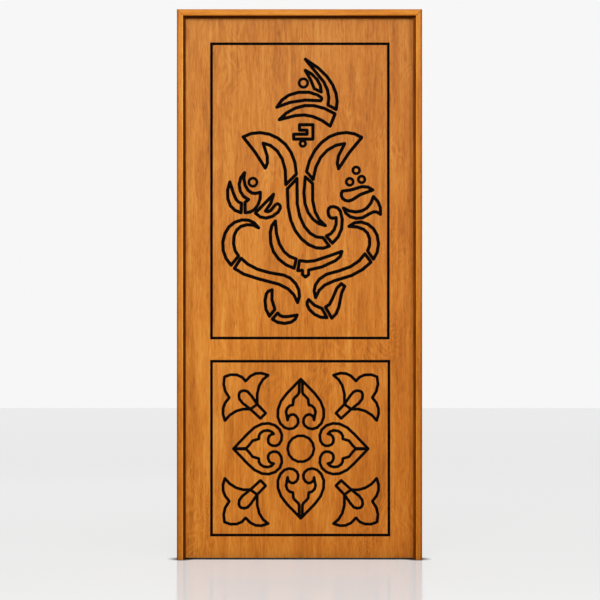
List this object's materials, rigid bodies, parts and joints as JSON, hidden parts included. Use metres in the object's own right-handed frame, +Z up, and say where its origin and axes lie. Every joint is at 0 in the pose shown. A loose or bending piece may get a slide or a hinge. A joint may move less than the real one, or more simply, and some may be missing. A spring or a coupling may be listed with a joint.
{
  "type": "flush door with routed line work",
  "caption": "Flush wooden door leaf with routed figure and flower line work, hung on butt hinges in a mitred lining with dark planted stops; the leaf swings away from the carved face.",
  "frame": {"origin": "on the floor, at the middle of the opening's width and of the lining's depth", "axes": "+X to the viewer's right across the carved face, +Y away from the viewer, +Z up"},
  "size_m": [0.954, 0.0873, 2.141],
  "materials": {
    "lining": "satin lacquer",
    "stops": "dark satin stain",
    "face_veneer": "satin lacquer, routed lines black",
    "inner_timber": "bare",
    "hinge_steel": "satin"
  },
  "bodies": {
    "frame": {"left_jamb": "lining", "right_jamb": "lining", "head_jamb": "lining", "left_tongue": "inner_timber", "right_tongue": "inner_timber", "left_stop": "stops", "right_stop": "stops", "head_stop": "stops", "bottom_hinge_frame_leaf": "hinge_steel", "middle_hinge_frame_leaf": "hinge_steel", "top_hinge_frame_leaf": "hinge_steel", "bottom_hinge_pin": "hinge_steel", "middle_hinge_pin": "hinge_steel", "top_hinge_pin": "hinge_steel"},
    "leaf": {"front_skin": "face_veneer", "back_skin": "face_veneer", "hinge_stile": "inner_timber", "closing_stile": "inner_timber", "top_rail": "inner_timber", "upper_core": "inner_timber", "middle_rail": "inner_timber", "lower_core": "inner_timber", "bottom_rail": "inner_timber", "bottom_hinge_door_leaf": "hinge_steel", "middle_hinge_door_leaf": "hinge_steel", "top_hinge_door_leaf": "hinge_steel"}
  },
  "joints": [
    {"name": "leaf_swing", "type": "hinge", "parent": "frame", "child": "leaf", "pos_m": [0.4515, 0.0438, 1.0965], "axis": [0, 0, -1], "range_deg": [0, 175]}
  ]
}
